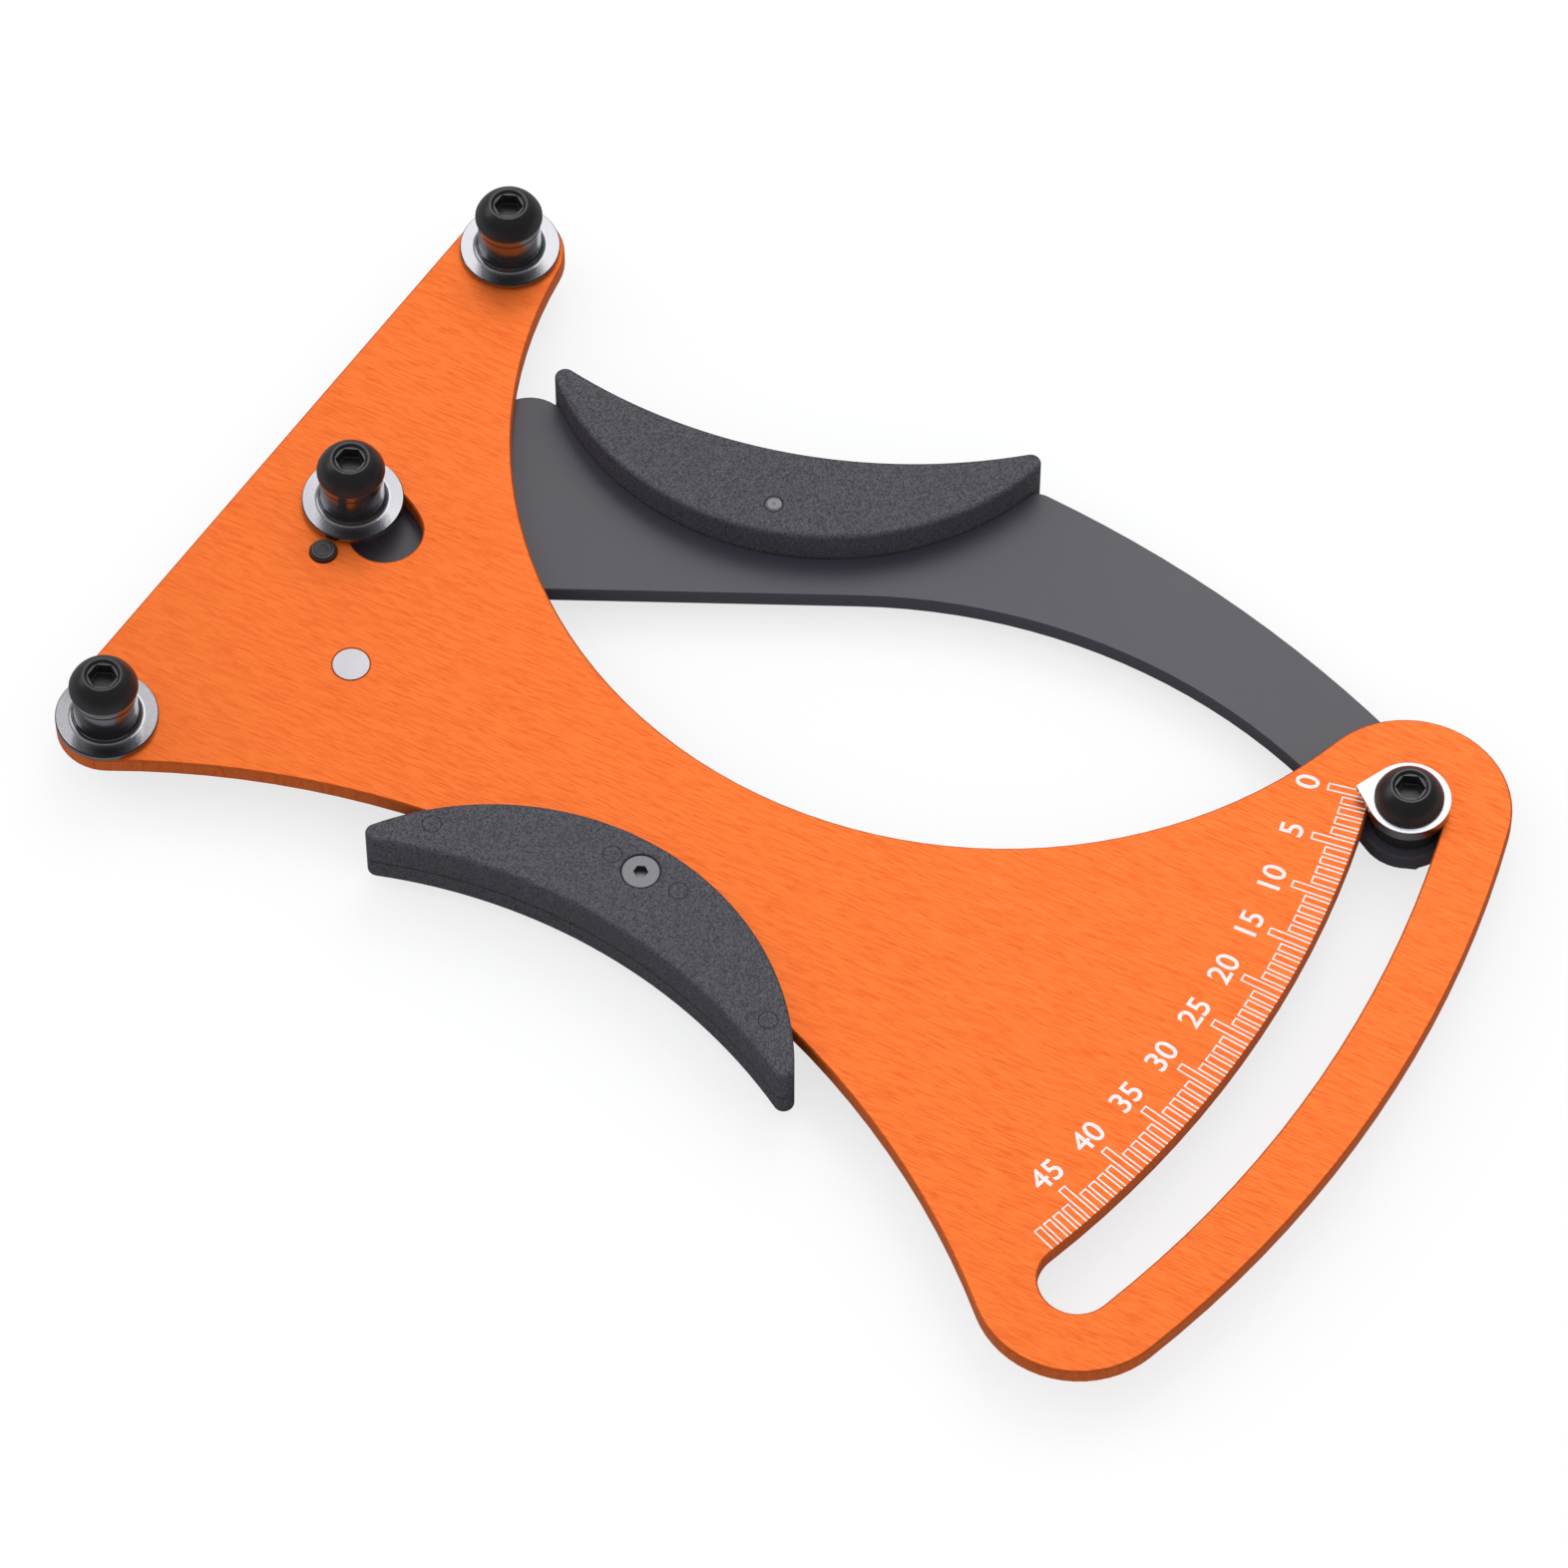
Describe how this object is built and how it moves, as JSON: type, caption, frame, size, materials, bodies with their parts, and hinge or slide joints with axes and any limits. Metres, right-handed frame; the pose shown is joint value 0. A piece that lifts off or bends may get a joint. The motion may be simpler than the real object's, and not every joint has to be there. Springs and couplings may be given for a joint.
{
  "type": "spoke tension meter",
  "caption": "Hand-held wheel spoke tension meter: flat scale plate with fixed posts, sprung lever arm with moving post and pointer, and two crescent grips to squeeze",
  "frame": {"origin": "middle of the seat of the spoke that is measured: on the centre line of a 2 mm spoke lying against the two outer posts, half way between them", "axes": "+X from the posts along the tool towards the scale slot, +Y along the spoke from the lower post to the upper post, +Z out of the printed face of the plate"},
  "size_m": [0.2036, 0.1327, 0.0216],
  "materials": {
    "anodised_orange": "orange anodised aluminium sheet with a fine brushed grain, white printed scale",
    "black_coated_steel": "satin black coated steel sheet",
    "black_oxide": "black oxide steel, oiled, half gloss",
    "polished_steel": "turned and polished steel",
    "bright_steel": "bright turned steel, flush end faced",
    "zinc_steel": "zinc plated steel",
    "spring_steel": "drawn spring wire, lightly oiled",
    "black_plastic": "hard black plastic with a smooth running face",
    "nylon_white": "thin natural nylon",
    "grip_plastic": "moulded charcoal plastic with a fine spark-eroded texture",
    "brass_insert": "turned brass"
  },
  "bodies": {
    "plate_side": {"scale_plate": "anodised_orange", "pivot_screw": "black_oxide", "pivot_washer_front": "nylon_white", "pivot_washer_rear": "zinc_steel", "post_sleeve_upper": "polished_steel", "post_sleeve_lower": "polished_steel", "post_screw_upper": "black_oxide", "post_screw_lower": "black_oxide", "post_nut_upper": "zinc_steel", "post_nut_lower": "zinc_steel", "spring_anchor_rivet": "bright_steel", "return_spring": "spring_steel", "lower_grip_front": "grip_plastic", "lower_grip_rear": "grip_plastic", "lower_grip_screw": "black_oxide", "lower_grip_insert": "brass_insert"},
    "arm_side": {"lever_arm": "black_coated_steel", "post_sleeve_middle": "polished_steel", "middle_post_collar": "polished_steel", "post_screw_middle": "black_oxide", "pointer_screw": "black_oxide", "post_nut_middle": "zinc_steel", "pointer_nut": "zinc_steel", "arm_spring_stud": "bright_steel", "slot_spacer": "black_plastic", "pointer_washer": "polished_steel", "pointer": "polished_steel", "upper_grip_front": "grip_plastic", "upper_grip_rear": "grip_plastic", "upper_grip_screw": "black_oxide", "upper_grip_insert": "brass_insert"}
  },
  "joints": [
    {"name": "arm_pivot", "type": "hinge", "parent": "plate_side", "child": "arm_side", "pos_m": [0.0034, -0.01, -0.0095], "axis": [0, 0, -1], "range_deg": [0, 32.7], "stiffness_Nm_per_rad": 0.4, "springref_deg": -28.65, "deforming": ["return_spring"]}
  ]
}
